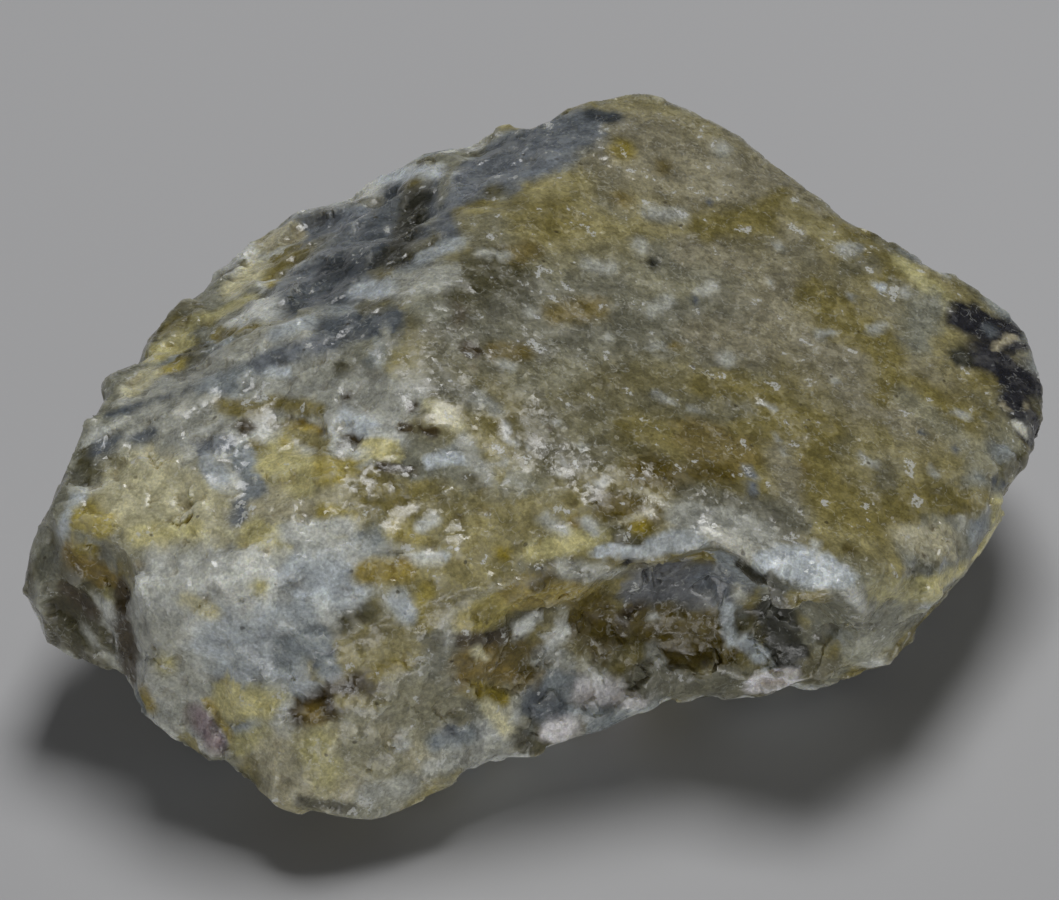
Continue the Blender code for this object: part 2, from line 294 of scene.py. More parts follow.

# %% [markdown]
# ## The palette and the map
#
# The palette holds the colours of this stone's own minerals and stains, as linear red, green and
# blue; the recess grey also holds painted shade, and the grey haze painted sheen. Colours and small
# forms belong to the same crystals, so one map places both. Noise alone could give such colours, but
# not the right crystal in the right place. Each line of the map is a streak: it runs straight from
# one place to another, reaches out by its radius, has a colour from the palette, fades over a part of
# its radius, and stands proud or lies deep by a height in millimetres. A spot is a streak that starts
# and ends at one place. Streaks later in the map lie over earlier ones.
#
# The map is a flat drawing of the stone as the camera sees it, so its places and radii are in units
# of that drawing: 1059 across from the left and 900 down from the top.

# %% Mix the palette
PALETTE = {
    "olive": (0.222, 0.188, 0.060),
    "olive haze": (0.275, 0.252, 0.165),
    "amber glass": (0.195, 0.155, 0.050),
    "gold": (0.285, 0.225, 0.026),
    "dark gold": (0.120, 0.090, 0.012),
    "amber": (0.380, 0.300, 0.075),
    "honey": (0.410, 0.345, 0.095),
    "lemon": (0.600, 0.550, 0.265),
    "pale lemon": (0.640, 0.605, 0.390),
    "lemon olive": (0.455, 0.422, 0.205),
    "pale olive": (0.322, 0.284, 0.126),
    "straw": (0.460, 0.430, 0.290),
    "cream": (0.620, 0.620, 0.540),
    "milk": (0.640, 0.655, 0.600),
    "warm milk": (0.460, 0.465, 0.400),
    "ice": (0.610, 0.660, 0.680),
    "pale blue": (0.480, 0.520, 0.530),
    "pale grey": (0.400, 0.405, 0.350),
    "buff grey": (0.300, 0.285, 0.185),
    # partly painted sheen of the top, over the haze's own grey
    "grey haze and sheen": (0.196, 0.190, 0.134),
    "brown haze": (0.182, 0.168, 0.094),
    "dark haze": (0.114, 0.108, 0.072),
    "grey blue": (0.290, 0.322, 0.330),
    "lilac grey": (0.190, 0.210, 0.230),
    "slate": (0.105, 0.120, 0.132),
    "deep slate": (0.050, 0.058, 0.064),
    "blue slate": (0.148, 0.165, 0.180),
    # darker than the recess's own grey: painted shade under the lip
    "recess grey with painted shade": (0.155, 0.162, 0.168),
    "charcoal": (0.024, 0.024, 0.029),
    "dark olive": (0.034, 0.034, 0.021),
    "moss": (0.096, 0.088, 0.042),
    "sage": (0.250, 0.250, 0.190),
    "pale sage": (0.360, 0.362, 0.285),
    "brown": (0.220, 0.158, 0.030),
    "umber": (0.056, 0.038, 0.010),
    "rose": (0.310, 0.245, 0.255),
    "rose white": (0.720, 0.700, 0.700),
    "buff": (0.430, 0.388, 0.265),
}
print(len(PALETTE), "colours")

# %% Say what a streak is
DRAWING = (1059, 900)          # size of the drawing
UNIT = 0.094                   # millimetres on the stone for one unit of the drawing

Streak = namedtuple("Streak", "name start end radius colour fade height")


def streak(name, start, end, radius, colour, fade=0.4, height=0.0):
    """One line of the map."""
    return Streak(name, start, end, radius, colour, fade, height)


def spot(name, place, radius, colour, fade=0.4, height=0.0):
    """A streak that starts and ends at one place."""
    return Streak(name, place, place, radius, colour, fade, height)


print("one unit of the drawing is", UNIT, "mm on the stone")

# %% [markdown]
# ## Map of the sloping top
#
# The top broke through clear olive and amber crystals, and a crushed grey or brown haze dulls most
# of them; the grey of the haze is partly painted sheen. Four wide, soft streaks lay the haze down
# first. The clear crystals, the ridge towards the right and a few dark spots go over them.

# %% Draw the sloping top
TOP_MAP = [
    streak("back of the top", (640, 150), (770, 200), 62, "olive haze", 0.6),
    # The haze over the middle of the top is partly painted sheen.
    streak("middle of the top, haze and painted sheen", (480, 320), (720, 300), 66, "grey haze and sheen", 0.6),
    streak("front of the top", (560, 430), (700, 420), 42, "brown haze", 0.6),
    streak("right of the top", (790, 300), (900, 400), 62, "olive haze", 0.6),
    streak("yellow at the back", (540, 190), (575, 182), 17, "pale olive", 0.6),
    spot("gold at the back", (622, 150), 14, "gold", 0.6),
    spot("brown at the back", (664, 166), 9, "amber glass", 0.6),
    spot("second brown at the back", (622, 198), 12, "amber glass", 0.6),
    spot("olive at the back", (582, 222), 10, "olive", 0.6),
    streak("olive run at the back", (700, 228), (765, 220), 20, "olive", 0.6),
    streak("olive along the back edge", (762, 145), (785, 195), 10, "olive", 0.6),
    streak("olive along the right edge", (795, 212), (840, 245), 14, "pale olive", 0.6),
    spot("pale at the back", (722, 150), 10, "pale grey", 0.7),
    streak("pale run at the back", (650, 213), (680, 216), 9, "pale grey", 0.7),
    spot("blue dot at the back", (710, 202), 4, "blue slate"),
    streak("olive behind the middle", (690, 252), (735, 258), 20, "olive haze", 0.6),
    streak("olive right of the middle", (815, 300), (870, 335), 24, "olive", 0.5),
    streak("olive by the charcoal", (890, 350), (885, 392), 18, "olive", 0.5),
    streak("olive under the charcoal", (915, 392), (960, 425), 20, "olive", 0.5),
    streak("yellow right edge", (900, 262), (945, 300), 10, "lemon olive", 0.5),
    streak("grey by the charcoal", (915, 340), (930, 300), 17, "sage", 0.6),
    streak("shade on the right", (842, 270), (872, 264), 11, "brown haze", 0.6),
    streak("dark of the middle", (456, 290), (504, 268), 28, "moss", 0.6),
    spot("brown of the middle", (456, 316), 14, "umber", 0.6),
    streak("brown crystals", (518, 256), (532, 250), 12, "amber glass", 0.6),
    streak("amber run", (556, 312), (596, 308), 13, "amber glass", 0.6),
    streak("amber behind the pit", (494, 350), (524, 352), 11, "amber glass", 0.5),
    streak("olive in the haze", (700, 385), (770, 392), 12, "olive", 0.6),
    streak("brown in the haze", (700, 335), (760, 345), 22, "olive haze", 0.6),
    spot("pale in the haze", (726, 358), 10, "pale grey", 0.6),
    # These two light hazes are partly painted sheen.
    streak("light haze and painted sheen", (520, 385), (568, 372), 17, "buff grey", 0.8),
    streak("haze and painted sheen over the middle", (640, 282), (690, 288), 14, "buff grey", 0.8),
    streak("light crystals", (630, 430), (680, 440), 20, "olive", 0.5),
    streak("light olive crystals", (790, 430), (835, 432), 17, "olive", 0.5),
    streak("light olive run", (850, 470), (880, 440), 16, "pale olive", 0.6),
    streak("amber glass, front", (696, 442), (742, 450), 22, "amber glass", 0.4),
    streak("gold glass, left", (640, 470), (676, 478), 17, "dark gold", 0.4),
    streak("gold glass, middle", (738, 428), (770, 426), 10, "olive", 0.4),
    streak("gold glass, front", (700, 470), (728, 474), 12, "dark gold", 0.4),
    spot("dark glass", (798, 470), 13, "dark gold", 0.5),
    streak("gold, front right", (850, 505), (900, 512), 24, "olive", 0.4),
    streak("gold over the nose", (846, 548), (888, 562), 17, "pale olive", 0.4),
    spot("dark spot in the gold", (850, 550), 7, "dark gold"),
    streak("olive, front right", (915, 500), (985, 502), 17, "olive", 0.5),
    streak("grey ridge", (905, 398), (1002, 482), 13, "buff grey", 0.5),
    spot("dark in the ridge", (921, 432), 4, "slate"),
    spot("slate in the ridge", (955, 450), 5, "slate"),
    streak("charcoal in the ridge", (995, 480), (1006, 486), 5, "slate"),
    streak("grey specks", (780, 452), (792, 500), 14, "olive haze", 0.7),
    streak("blue specks", (750, 472), (754, 492), 6, "blue slate", 0.5),
    spot("brown speck", (757, 503), 4, "umber"),
]
print(len(TOP_MAP), "streaks")

# %% [markdown]
# ## Map of the flakes
#
# Small cleavage flakes stand loose on the top and look white, because light scatters in the gap
# under them. Each is a small spot or a short streak, too small to be modelled one by one. A few
# dark dots and two pits go in with them.

# %% Draw the flakes and pits of the top
FLAKE_MAP = [
    streak("flake behind the middle", (480, 252), (508, 256), 5, "warm milk", 0.5),
    streak("flake by the dark dot", (586, 264), (610, 268), 8, "warm milk", 0.6),
    spot("flake by the back pit", (640, 246), 9, "warm milk", 0.5),
    streak("flakes in the haze", (652, 312), (668, 300), 7, "warm milk", 0.6),
    streak("flake by the slate dot", (700, 292), (712, 285), 6, "warm milk", 0.4),
    spot("slate dot", (696, 301), 5, "slate", 0.4),
    spot("ring flake", (660, 349), 9, "warm milk", 0.3),
    spot("middle of the ring flake", (661, 352), 3, "brown haze", 0.3),
    spot("amber by the ring flake", (676, 345), 6, "amber glass"),
    spot("small flake 1", (771, 283), 5, "pale grey"),
    spot("small flake 2", (778, 246), 6, "pale grey"),
    spot("small flake 3", (850, 297), 5, "pale grey"),
    spot("small flake 4", (881, 287), 6, "ice"),
    spot("small flake 5", (906, 293), 8, "pale grey"),
    streak("small flake 6", (838, 250), (858, 248), 7, "pale grey"),
    streak("small flake 7", (870, 330), (886, 326), 6, "pale grey"),
    streak("small flake 8", (816, 336), (832, 330), 4, "pale grey"),
    spot("small flake 9", (835, 380), 5, "pale grey"),
    spot("small flake 10", (609, 340), 6, "pale grey"),
    spot("small flake 11", (530, 310), 7, "pale grey"),
    streak("small flake 12", (504, 364), (516, 368), 4, "pale grey", 0.3),
    streak("small flake 13", (507, 422), (508, 432), 4, "pale grey", 0.3),
    streak("small flake 14", (508, 440), (526, 447), 4, "pale grey", 0.3),
    streak("ring by the flakes", (544, 431), (558, 425), 4, "milk", 0.3),
    spot("dark of the ring", (550, 431), 2, "umber", 0.3),
    streak("small flake 15", (569, 450), (586, 449), 3, "pale grey", 0.3),
    streak("small flake 16", (564, 464), (559, 473), 4, "pale grey", 0.3),
    spot("small flake 17", (505, 463), 4, "pale grey", 0.3),
    streak("small flake 18", (655, 394), (668, 400), 4, "pale grey", 0.4),
    streak("small flake 19", (690, 409), (704, 413), 3, "pale grey", 0.4),
    streak("small flake 20", (760, 404), (776, 408), 3, "pale grey", 0.4),
    streak("small flake 21", (590, 487), (602, 484), 5, "pale grey", 0.4),
    streak("small flake 22", (776, 436), (784, 452), 3, "pale grey", 0.4),
    streak("small flake 23", (862, 458), (872, 464), 5, "pale grey", 0.4),
    streak("small flake 24", (930, 470), (938, 476), 4, "pale grey", 0.4),
    streak("small flake 25", (958, 412), (968, 417), 5, "pale grey", 0.4),
    spot("pit at the back", (654, 262), 7, "dark olive", 0.4, -0.5),
    streak("pit in the middle", (466, 346), (474, 352), 8, "umber", 0.3, -0.2),
    spot("buff under the pit", (474, 366), 4, "buff"),
]
print(len(FLAKE_MAP), "streaks")

# %% [markdown]
# ## Map of the charcoal end
#
# The right end is stained almost black, with a thin buff band through it. Its borders are hard, so
# the charcoal streaks have a short fade.

# %% Draw the charcoal end
CHARCOAL_MAP = [
    streak("charcoal, back", (965, 318), (1008, 336), 23, "charcoal", 0.25),
    streak("charcoal, middle", (985, 360), (1026, 385), 24, "charcoal", 0.25),
    streak("charcoal, front", (1012, 402), (1032, 432), 15, "charcoal", 0.25),
    spot("slate in the charcoal", (990, 330), 8, "slate", 0.6),
    streak("buff band", (994, 347), (1014, 337), 4, "buff", 0.4),
    spot("buff dot", (1003, 404), 4, "buff", 0.4),
    spot("buff dot, right", (1026, 407), 4, "buff", 0.4),
    streak("cream under the charcoal", (1016, 424), (1026, 434), 5, "cream", 0.5),
    spot("white dot in the charcoal", (986, 371), 3, "ice", 0.4),
    spot("olive beside the charcoal", (958, 358), 14, "dark olive", 0.6),
    streak("end of the stone", (1008, 470), (1032, 460), 12, "moss", 0.5),
]
print(len(CHARCOAL_MAP), "streaks")

# %% [markdown]
# ## Map of the slope
#
# Behind the top, the stone falls off in slate-coloured and pale bands, with one dark hollow, a
# pale bar that stands proud, and yellow crystals along the outer edge. A thin slate line along the
# step down to the shoulder is painted shade.

# %% Draw the slope at the back left
SLOPE_MAP = [
    streak("pale slope", (160, 410), (300, 345), 42, "pale grey", 0.4),
    streak("slate of the slope", (318, 282), (405, 225), 48, "blue slate", 0.4),
    streak("slate of the ridge", (440, 196), (580, 130), 30, "blue slate", 0.4),
    streak("blue of the slope", (205, 388), (250, 378), 16, "grey blue", 0.5),
    streak("slate slope, low", (262, 362), (330, 342), 11, "lilac grey", 0.5),
    streak("slate slope, middle", (330, 330), (392, 318), 17, "slate", 0.4),
    streak("slate slope, high", (300, 300), (352, 298), 22, "slate", 0.5),
    streak("lilac slope", (312, 228), (372, 215), 30, "lilac grey", 0.4),
    streak("dark slope", (330, 268), (382, 252), 20, "deep slate", 0.5),
    streak("charcoal hollow", (394, 258), (414, 205), 22, "dark olive", 0.35, -0.3),
    spot("top of the hollow", (412, 200), 12, "dark olive", 0.4),
    streak("slate ridge", (330, 194), (390, 190), 17, "slate", 0.5),
    streak("lilac ridge", (460, 188), (545, 158), 28, "lilac grey", 0.4),
    streak("blue ridge", (495, 150), (575, 122), 16, "blue slate", 0.5),
    streak("slate by the hollow", (440, 212), (452, 238), 11, "blue slate", 0.5),
    spot("moss on the ridge", (494, 192), 11, "moss", 0.6),
    streak("dark spot on the ridge", (592, 114), (616, 118), 10, "deep slate", 0.5),
    streak("cream bar", (388, 180), (448, 172), 13, "ice", 0.4, 0.3),
    streak("pale over the bar", (400, 160), (462, 150), 7, "sage", 0.5),
    streak("blue white patch", (360, 292), (392, 286), 12, "ice", 0.4),
    streak("warm white patch", (408, 282), (442, 276), 19, "pale grey", 0.4),
    streak("under the white patch", (420, 305), (440, 315), 14, "sage", 0.6),
    streak("blue edge of the top", (420, 258), (458, 242), 8, "pale blue", 0.5),
    streak("white of the slope", (276, 332), (304, 322), 9, "pale blue", 0.5),
    streak("white on the slate", (268, 372), (286, 372), 5, "ice", 0.4),
    spot("grey on the slate", (386, 331), 6, "pale grey", 0.5),
    spot("blue on the slate", (345, 310), 6, "grey blue", 0.5),
    streak("yellow shoulder, back", (270, 244), (294, 234), 15, "straw", 0.4),
    streak("pale yellow shoulder", (236, 292), (258, 268), 17, "pale lemon", 0.4),
    spot("honey on the shoulder", (272, 282), 8, "honey", 0.5),
    streak("yellow shoulder, middle", (196, 322), (248, 300), 10, "lemon olive", 0.4),
    streak("yellow shoulder, front", (160, 352), (180, 344), 17, "lemon", 0.4),
    streak("honey shoulder, front", (160, 372), (178, 364), 9, "honey", 0.5),
    streak("pale shoulder end", (132, 388), (150, 374), 13, "pale lemon", 0.5),
    spot("grey on the shoulder", (202, 330), 9, "sage", 0.6),
    # A thin slate line of painted shade along the step down to the shoulder.
    streak("slate line of painted shade along the step", (108, 416), (186, 388), 5, "slate", 0.5),
    streak("slate edge", (100, 450), (150, 436), 11, "blue slate", 0.6),
    streak("olive on the slope", (340, 368), (362, 376), 8, "moss", 0.5),
    streak("brown on the slope", (370, 372), (376, 386), 4, "umber", 0.4),
]
print(len(SLOPE_MAP), "streaks")

# %% [markdown]
# ## Map of the shoulder
#
# The shoulder is the most mixed part: yellow, honey, grey and blue crystals a few millimetres wide
# lie side by side, with brown pits between them. So it has many small streaks, the yellow and grey
# ones with hard borders.

# %% Draw the shoulder
SHOULDER_MAP = [
    streak("shoulder", (140, 490), (190, 520), 44, "pale lemon", 0.4),
    streak("grey shoulder", (150, 424), (200, 404), 20, "pale grey", 0.5),
    streak("middle of the shoulder", (270, 400), (400, 395), 24, "pale grey", 0.5),
    streak("front of the shoulder", (260, 505), (340, 510), 26, "straw", 0.5),
    streak("buff of the shoulder", (370, 495), (430, 500), 22, "olive", 0.5),
    streak("slate on the shoulder", (138, 440), (154, 434), 7, "slate", 0.5),
    spot("cream lump", (180, 411), 8, "cream", 0.3, 0.3),
    streak("olive patch", (220, 404), (258, 412), 9, "olive", 0.4),
    spot("dark of the olive patch", (246, 427), 9, "umber", 0.4, -0.2),
    streak("second olive patch", (272, 402), (318, 410), 8, "olive", 0.5),
    spot("brown dot", (346, 396), 5, "umber", 0.4, -0.2),
    streak("green crystal", (205, 448), (226, 443), 10, "lilac grey", 0.3),
    streak("white crystal", (206, 462), (220, 478), 10, "pale blue", 0.4),
    streak("grey crystal", (240, 458), (256, 486), 13, "grey blue", 0.3),
    streak("blue crystal", (240, 504), (238, 520), 8, "blue slate", 0.4),
    streak("yellow crystal", (275, 458), (298, 474), 19, "lemon", 0.25),
    streak("honey crystal", (322, 470), (346, 466), 13, "honey", 0.3),
    spot("orange dot", (286, 443), 6, "honey", 0.5),
    streak("brown band", (290, 428), (322, 444), 9, "pale olive", 0.5, -0.2),
    streak("umber of the band", (300, 424), (320, 430), 4, "amber", 0.4, -0.3),
    streak("dark of the band", (342, 440), (358, 438), 7, "umber", 0.4, -0.5),
    streak("glitter", (346, 422), (370, 428), 9, "ice", 0.4),
    spot("bright glitter", (341, 424), 4, "milk", 0.3),
    streak("lemon crystal", (372, 448), (394, 452), 11, "lemon", 0.25, 0.2),
    streak("pit with crystals", (400, 426), (436, 432), 5, "umber", 0.4, -0.8),
    spot("back of the pit", (412, 406), 7, "umber", 0.4, -0.8),
    # Part of this pale lemon is a painted highlight.
    streak("pale lemon and painted highlight beside the pit", (430, 404), (458, 426), 8, "pale lemon", 0.4),
    streak("brown ledge", (380, 466), (412, 470), 5, "umber", 0.4, -0.3),
    # The pale sheet along the ridge is partly painted sheen.
    streak("pale sheet with painted sheen", (436, 378), (470, 398), 15, "grey haze and sheen", 0.6),
    streak("pale flake", (476, 396), (498, 410), 7, "pale grey", 0.5),
    streak("white facet", (428, 461), (470, 457), 6, "ice", 0.3),
    streak("pale vein", (465, 440), (492, 492), 8, "pale grey", 0.4),
    spot("pale dot", (404, 444), 6, "pale grey", 0.4),
    streak("second lemon crystal", (256, 534), (276, 540), 15, "lemon", 0.4),
    streak("honey of the front", (324, 512), (346, 520), 10, "honey", 0.5),
    streak("second honey", (396, 530), (420, 540), 12, "honey", 0.6),
    streak("white over the block", (286, 532), (346, 526), 10, "milk", 0.5),
    streak("yellow over the block", (140, 536), (194, 530), 11, "lemon", 0.5),
    streak("brown ledge of the block", (138, 566), (182, 578), 6, "brown", 0.5, -0.3),
]
print(len(SHOULDER_MAP), "streaks")

# %% [markdown]
# ## Map of the block
#
# The block under the shoulder is milky white to blue, with yellow crystals low down, a dark wedge
# cut into its right side, and a trace of rose. Its left side is painted pale grey, for the shade it
# lies in. Its foot spreads out to the right.

# %% Draw the block
BLOCK_MAP = [
    streak("block", (165, 600), (340, 585), 44, "milk", 0.3),
    # Painted shade: the left side gets pale grey instead of milk, for the shade it lies in.
    streak("left side of the block, painted shade", (158, 640), (190, 700), 30, "pale grey", 0.4),
    streak("middle of the block", (230, 650), (290, 690), 32, "pale blue", 0.4),
    streak("blue of the block", (300, 572), (385, 592), 24, "ice", 0.4),
    streak("yellow streak", (188, 600), (214, 612), 8, "pale lemon", 0.5),
    spot("yellow haze", (260, 588), 8, "lemon olive", 0.7),
    spot("glint 1", (257, 607), 4, "ice", 0.3),
    spot("glint 2", (196, 645), 4, "ice", 0.3),
    streak("blue facet, back", (268, 626), (302, 614), 16, "pale blue", 0.4),
    streak("blue facet, front", (284, 652), (316, 642), 15, "grey blue", 0.25),
    streak("blue facet, right", (322, 640), (330, 670), 11, "grey blue", 0.4),
    streak("line between the facets", (308, 672), (332, 652), 3, "slate", 0.4, -0.2),
    spot("yellow dot of the block", (164, 664), 11, "lemon olive", 0.7),
    streak("yellow of the block", (228, 700), (270, 706), 19, "lemon", 0.4),
    streak("white of the block", (282, 738), (290, 712), 13, "milk", 0.4),
    streak("rose of the block", (198, 716), (216, 742), 12, "rose", 0.6),
    streak("amber line of the block", (205, 700), (238, 748), 4, "amber", 0.6),
    streak("low yellow of the block", (240, 746), (264, 736), 11, "lemon olive", 0.5),
    streak("foot of the block", (300, 770), (400, 750), 42, "straw", 0.4),
    streak("yellow of the foot", (316, 750), (330, 772), 17, "lemon olive", 0.6),
    streak("buff of the foot", (358, 748), (390, 772), 18, "buff grey", 0.7),
    streak("white of the foot", (402, 744), (406, 728), 8, "milk", 0.5),
    streak("grey of the foot", (370, 792), (410, 785), 12, "pale grey", 0.6),
    streak("edge of the foot", (300, 802), (350, 808), 7, "dark haze", 0.5),
    streak("dark wedge", (304, 712), (368, 682), 17, "umber", 0.35, -0.5),
    spot("dark end of the wedge", (312, 714), 11, "brown", 0.5),
    streak("light ridge", (342, 702), (398, 700), 7, "pale olive", 0.4, 0.3),
    streak("olive hollow", (346, 626), (376, 608), 11, "moss", 0.5, -0.4),
    streak("yellow lens", (366, 648), (402, 656), 17, "pale olive", 0.35, 0.2),
    streak("gold under the lens", (378, 674), (398, 668), 9, "gold", 0.5),
]
print(len(BLOCK_MAP), "streaks")

# %% [markdown]
# ## Map of the middle of the front
#
# Between the block and the recess, honey, amber and dark gold crystals lie side by side, and the
# base is pale and crumbly. Small white streaks are crushed crystals, and their glitter is painted
# highlight.

# %% Draw the middle of the front
FRONT_MAP = [
    streak("front haze", (420, 590), (480, 560), 40, "pale olive", 0.5),
    streak("upper front", (440, 515), (570, 520), 26, "pale olive", 0.6),
    streak("step", (408, 560), (440, 558), 7, "milk", 0.4),
    spot("glint on the step", (446, 555), 4, "ice", 0.3),
    streak("blue white of the front", (398, 600), (406, 612), 11, "pale blue", 0.5),
    streak("amber of the front", (366, 572), (402, 572), 12, "amber", 0.5),
    streak("gold streak 1", (426, 590), (426, 622), 9, "honey", 0.5),
    streak("gold streak 2", (468, 626), (502, 606), 15, "honey", 0.4),
    streak("gold streak 3", (518, 596), (584, 590), 17, "amber", 0.4),
    streak("dark gold streak", (536, 586), (552, 574), 8, "dark gold", 0.5),
    spot("gold dot", (504, 554), 8, "gold", 0.5),
    streak("yellow band", (530, 552), (600, 536), 10, "lemon", 0.6),
    streak("grey under the lip", (566, 570), (616, 572), 11, "pale grey", 0.5),
    spot("brown over the band", (576, 522), 6, "brown", 0.5),
    streak("gold over the lip", (606, 502), (650, 512), 15, "dark gold", 0.5),
    spot("gold in the arc", (640, 526), 9, "gold", 0.5),
    streak("arc, upper", (642, 490), (668, 506), 4, "straw", 0.5),
    streak("arc, right", (670, 508), (670, 526), 3, "straw", 0.5),
    streak("arc, left", (612, 525), (650, 512), 3, "straw", 0.5),
    streak("white over the band 1", (586, 522), (596, 532), 6, "milk", 0.5),
    streak("white over the band 2", (546, 518), (562, 530), 7, "warm milk", 0.6),
    streak("white over the band 3", (422, 526), (434, 520), 7, "milk", 0.5),
    # The glitter of these white crystals is painted highlight.
    streak("white glitter", (520, 628), (536, 618), 8, "milk", 0.4, 0.3),
    spot("glitter below", (516, 641), 5, "milk", 0.4),
    spot("rose glitter", (573, 630), 4, "rose white", 0.4),
    streak("front base", (400, 700), (450, 715), 28, "buff grey", 0.5),
    streak("brown of the front", (470, 668), (524, 664), 22, "brown", 0.5),
    streak("umber of the front", (508, 650), (530, 664), 12, "dark gold", 0.5),
    streak("umber line", (462, 640), (500, 636), 9, "umber", 0.5, -0.3),
    streak("honey dots", (476, 652), (484, 656), 5, "pale lemon", 0.5),
    streak("amber low", (474, 690), (502, 700), 9, "gold", 0.6),
    streak("dark front", (590, 612), (606, 638), 24, "dark gold", 0.4, -0.3),
    streak("grey glitter", (540, 658), (566, 662), 10, "pale grey", 0.4),
    streak("grey crystal of the base", (536, 704), (556, 716), 15, "slate", 0.4),
    streak("blue of the base", (436, 742), (470, 736), 11, "grey blue", 0.6),
    spot("slate of the base", (450, 730), 8, "slate", 0.6),
    streak("low edge of the base", (430, 768), (500, 746), 11, "pale grey", 0.5),
    streak("straw of the base", (486, 704), (506, 730), 7, "pale lemon", 0.5),
    streak("crumbly white", (584, 692), (640, 694), 14, "rose white", 0.4),
    streak("crumbly edge", (552, 732), (640, 718), 12, "rose white", 0.4),
]
print(len(FRONT_MAP), "streaks")

# %% [markdown]
# ## Map of the recess and the lip
#
# The recess broke deep into clear, dark olive crystals, and its grey and darkest streaks are partly
# painted shade under the lip. A thin, pale blue and cream plate, the lip, hangs over it and is raised
# a little here, with a painted shadow under its edge, and the stone ends in a pale nose with a yellow
# rim, whose lemon is partly painted light coming through the thin edge.

# %% Draw the recess, the lip and the nose
RECESS_MAP = [
    streak("low band", (640, 680), (740, 686), 20, "grey haze and sheen", 0.4),
    streak("green of the band", (618, 668), (636, 650), 10, "olive", 0.5),
    streak("olive of the band", (686, 656), (704, 666), 11, "olive", 0.5),
    streak("nose", (840, 600), (880, 620), 40, "sage", 0.4),
    streak("pale of the nose", (852, 652), (884, 640), 13, "pale sage", 0.5),
    streak("white of the nose", (850, 592), (862, 606), 6, "milk", 0.5),
    # The grey of the recess, its floor, its dark end and the dark crystal are partly painted shade
    # under the lip.
    streak("recess", (640, 582), (720, 590), 24, "recess grey with painted shade", 0.3),
    streak("lilac of the recess", (700, 574), (722, 588), 13, "lilac grey", 0.5),
    streak("brown of the recess", (628, 620), (640, 612), 12, "umber", 0.5),
    streak("floor of the recess with painted shade", (656, 624), (712, 644), 22, "dark gold", 0.2),
    streak("dark end of the recess with painted shade", (750, 566), (778, 604), 20, "dark olive", 0.25),
    streak("dark crystal with painted shade", (772, 612), (790, 654), 19, "dark olive", 0.2),
    streak("pale of the recess", (736, 588), (740, 596), 6, "pale grey", 0.4),
    streak("white band, upper", (726, 608), (732, 640), 7, "pale blue", 0.4),
    streak("white band, lower", (744, 642), (760, 656), 9, "pale blue", 0.4),
    spot("purple dot", (628, 564), 5, "charcoal", 0.5),
    # A painted shadow under the lip's lower edge.
    streak("painted shadow under the lip", (702, 550), (730, 554), 6, "brown haze", 0.4),
    streak("yellow of the nose", (798, 598), (816, 600), 12, "olive", 0.35),
    spot("low yellow of the nose", (806, 624), 6, "pale olive", 0.5),
    spot("glint of the recess", (654, 616), 5, "milk", 0.3),
    streak("pink base", (754, 686), (792, 680), 11, "rose white", 0.25),
    streak("yellow rim, low", (880, 592), (938, 590), 13, "lemon olive", 0.4),
    # The lemon of the thin rim is partly painted light coming through the edge.
    streak("yellow rim with painted glow, middle", (935, 584), (984, 552), 9, "lemon", 0.4),
    streak("yellow rim with painted glow, high", (984, 546), (1000, 508), 12, "lemon", 0.4),
    streak("grey by the rim", (905, 540), (945, 546), 17, "straw", 0.6),
    spot("dot in the grey", (925, 556), 3, "umber", 0.4),
    spot("white by the rim", (988, 510), 5, "milk", 0.4),
    streak("grey over the lip", (690, 502), (790, 520), 20, "grey haze and sheen", 0.6),
    streak("lip, left", (600, 551), (650, 552), 6, "ice", 0.3, 0.2),
    streak("lip, middle", (655, 546), (705, 536), 11, "pale blue", 0.3, 0.2),
    streak("lip, high", (680, 516), (760, 534), 17, "pale grey", 0.4),
    streak("lip, cream", (712, 534), (756, 556), 9, "cream", 0.3, 0.2),
    streak("lip, blue", (764, 562), (782, 556), 11, "ice", 0.25, 0.2),
    streak("lip, right", (786, 568), (842, 576), 11, "ice", 0.15, 0.2),
    streak("lip, upper right", (796, 554), (826, 564), 10, "ice", 0.25),
    spot("lip, flaky end", (816, 546), 6, "milk", 0.5),
]
print(len(RECESS_MAP), "streaks")

# %% [markdown]
# ## Map of the wedge
#
# A dark wedge of moss-coloured crystals ends the stone at the left. A brown crevice parts it from
# the block.

# %% Draw the wedge and the crevice
WEDGE_MAP = [
    streak("wedge", (62, 600), (90, 650), 34, "moss", 0.3),
    streak("rim of the wedge", (36, 605), (52, 555), 11, "sage", 0.5),
    streak("low rim of the wedge", (48, 640), (74, 668), 9, "dark haze", 0.6),
    streak("dark of the wedge", (64, 590), (94, 612), 9, "umber", 0.5),
    streak("scratches of the wedge", (84, 630), (96, 646), 5, "pale grey", 0.6),
    streak("scratches by the crevice", (105, 655), (118, 666), 5, "pale grey", 0.6),
    streak("lilac of the wedge", (98, 680), (120, 676), 6, "lilac grey", 0.6),
    streak("brown of the wedge", (72, 556), (98, 574), 12, "brown", 0.4),
    streak("gold of the wedge", (78, 550), (92, 550), 6, "gold", 0.5),
    streak("crevice, upper", (104, 578), (122, 584), 10, "brown", 0.4),
    streak("crevice, lower", (124, 590), (134, 672), 13, "umber", 0.4),
    streak("light in the crevice", (108, 592), (116, 602), 6, "lemon olive", 0.5),
    spot("buff in the crevice", (128, 620), 5, "buff grey", 0.5),
    streak("buff over the crevice", (114, 540), (126, 556), 10, "buff grey", 0.6),
    streak("honey tip", (142, 692), (148, 706), 9, "amber", 0.5),
    streak("blue rim of the crystal", (62, 534), (80, 500), 8, "pale blue", 0.4),
    streak("honey crystal of the wedge", (84, 518), (104, 526), 14, "honey", 0.3, 0.3),
]
print(len(WEDGE_MAP), "streaks")

